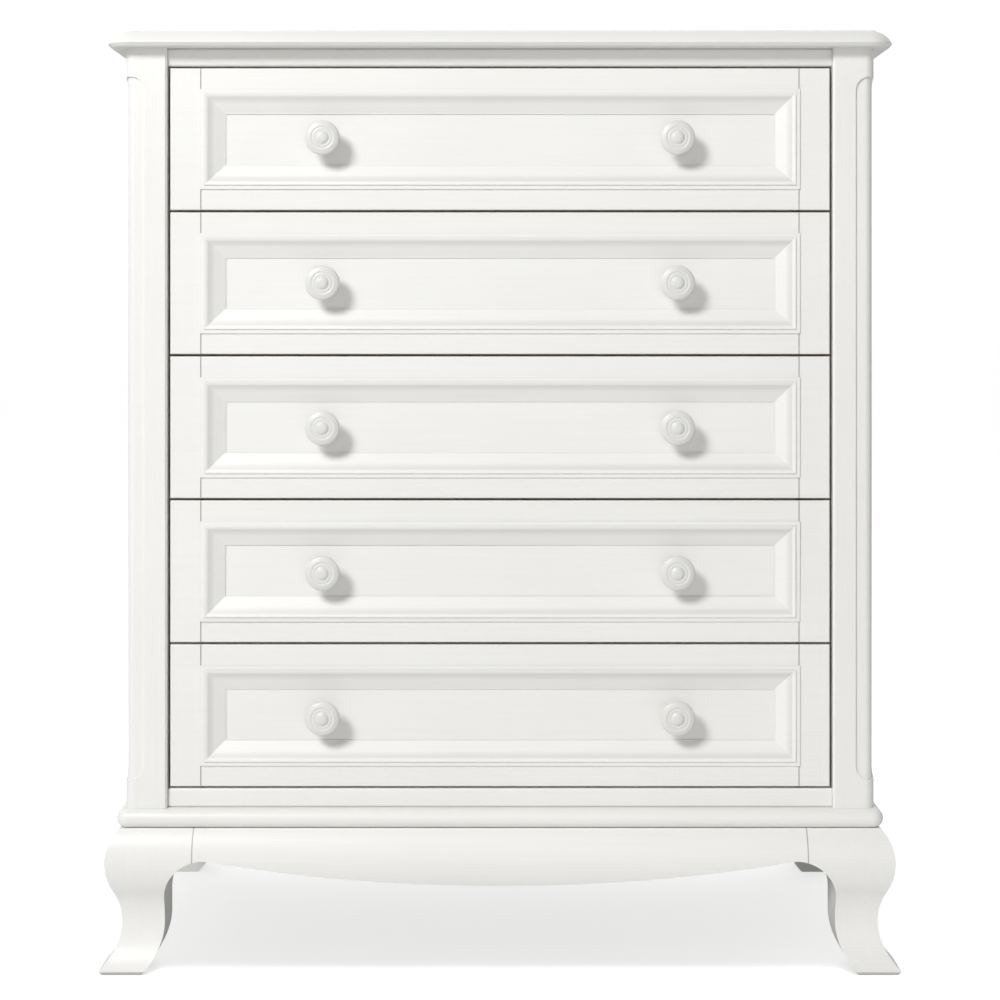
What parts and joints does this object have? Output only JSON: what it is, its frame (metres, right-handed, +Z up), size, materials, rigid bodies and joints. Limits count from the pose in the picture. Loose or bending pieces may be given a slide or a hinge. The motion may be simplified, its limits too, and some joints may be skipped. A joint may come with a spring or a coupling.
{
  "type": "tall chest of drawers",
  "caption": "Tall painted chest with inset panelled drawers on telescopic slides, turned knobs, a moulded top and base, and cabriole bracket legs.",
  "frame": {"origin": "on the floor, under the middle of the overall box", "axes": "+X to the viewer's right, +Y to the back, +Z up; the drawers pull out along -Y"},
  "size_m": [1.0338, 0.5084, 1.2202],
  "materials": {
    "painted_wood": "white satin paint",
    "drawer_wood": "clear lacquered beech",
    "plywood": "clear lacquered birch plywood",
    "zinc_steel": "zinc plated"
  },
  "bodies": {
    "case": {"left_front_post": "painted_wood", "left_rear_post": "painted_wood", "left_side_panel": "painted_wood", "left_front_leg": "painted_wood", "left_rear_leg": "painted_wood", "left_side_apron": "painted_wood", "right_front_post": "painted_wood", "right_rear_post": "painted_wood", "right_side_panel": "painted_wood", "right_front_leg": "painted_wood", "right_rear_leg": "painted_wood", "right_side_apron": "painted_wood", "top_board": "painted_wood", "base_board": "painted_wood", "top_front_rail": "painted_wood", "bottom_front_rail": "painted_wood", "front_apron": "painted_wood", "rear_apron": "painted_wood", "back_panel": "painted_wood", "top_rear_rail": "drawer_wood", "drawer_dividers": "drawer_wood", "corner_blocks": "drawer_wood", "slide_cleats": "drawer_wood", "case_channels": "zinc_steel"},
    "drawer_1": {"drawer_1_front": "painted_wood", "drawer_1_moulding": "painted_wood", "drawer_1_knobs": "painted_wood", "drawer_1_box": "drawer_wood", "drawer_1_bottom": "plywood", "drawer_1_channels": "zinc_steel"},
    "drawer_1_middle_channels": {"drawer_1_middle_channels": "zinc_steel"},
    "drawer_2": {"drawer_2_front": "painted_wood", "drawer_2_moulding": "painted_wood", "drawer_2_knobs": "painted_wood", "drawer_2_box": "drawer_wood", "drawer_2_bottom": "plywood", "drawer_2_channels": "zinc_steel"},
    "drawer_2_middle_channels": {"drawer_2_middle_channels": "zinc_steel"},
    "drawer_3": {"drawer_3_front": "painted_wood", "drawer_3_moulding": "painted_wood", "drawer_3_knobs": "painted_wood", "drawer_3_box": "drawer_wood", "drawer_3_bottom": "plywood", "drawer_3_channels": "zinc_steel"},
    "drawer_3_middle_channels": {"drawer_3_middle_channels": "zinc_steel"},
    "drawer_4": {"drawer_4_front": "painted_wood", "drawer_4_moulding": "painted_wood", "drawer_4_knobs": "painted_wood", "drawer_4_box": "drawer_wood", "drawer_4_bottom": "plywood", "drawer_4_channels": "zinc_steel"},
    "drawer_4_middle_channels": {"drawer_4_middle_channels": "zinc_steel"},
    "drawer_5": {"drawer_5_front": "painted_wood", "drawer_5_moulding": "painted_wood", "drawer_5_knobs": "painted_wood", "drawer_5_box": "drawer_wood", "drawer_5_bottom": "plywood", "drawer_5_channels": "zinc_steel"},
    "drawer_5_middle_channels": {"drawer_5_middle_channels": "zinc_steel"}
  },
  "joints": [
    {"name": "drawer_1_slide", "type": "slide", "parent": "case", "child": "drawer_1", "axis": [0, -1, 0], "range_m": [0, 0.4]},
    {"name": "drawer_1_middle_slide", "type": "slide", "parent": "case", "child": "drawer_1_middle_channels", "axis": [0, -1, 0], "range_m": [0, 0.2]},
    {"name": "drawer_2_slide", "type": "slide", "parent": "case", "child": "drawer_2", "axis": [0, -1, 0], "range_m": [0, 0.4]},
    {"name": "drawer_2_middle_slide", "type": "slide", "parent": "case", "child": "drawer_2_middle_channels", "axis": [0, -1, 0], "range_m": [0, 0.2]},
    {"name": "drawer_3_slide", "type": "slide", "parent": "case", "child": "drawer_3", "axis": [0, -1, 0], "range_m": [0, 0.4]},
    {"name": "drawer_3_middle_slide", "type": "slide", "parent": "case", "child": "drawer_3_middle_channels", "axis": [0, -1, 0], "range_m": [0, 0.2]},
    {"name": "drawer_4_slide", "type": "slide", "parent": "case", "child": "drawer_4", "axis": [0, -1, 0], "range_m": [0, 0.4]},
    {"name": "drawer_4_middle_slide", "type": "slide", "parent": "case", "child": "drawer_4_middle_channels", "axis": [0, -1, 0], "range_m": [0, 0.2]},
    {"name": "drawer_5_slide", "type": "slide", "parent": "case", "child": "drawer_5", "axis": [0, -1, 0], "range_m": [0, 0.4]},
    {"name": "drawer_5_middle_slide", "type": "slide", "parent": "case", "child": "drawer_5_middle_channels", "axis": [0, -1, 0], "range_m": [0, 0.2]}
  ],
  "couplings": [
    {"joint": "drawer_1_middle_slide", "follows": "drawer_1_slide", "ratio": 0.5},
    {"joint": "drawer_2_middle_slide", "follows": "drawer_2_slide", "ratio": 0.5},
    {"joint": "drawer_3_middle_slide", "follows": "drawer_3_slide", "ratio": 0.5},
    {"joint": "drawer_4_middle_slide", "follows": "drawer_4_slide", "ratio": 0.5},
    {"joint": "drawer_5_middle_slide", "follows": "drawer_5_slide", "ratio": 0.5}
  ]
}
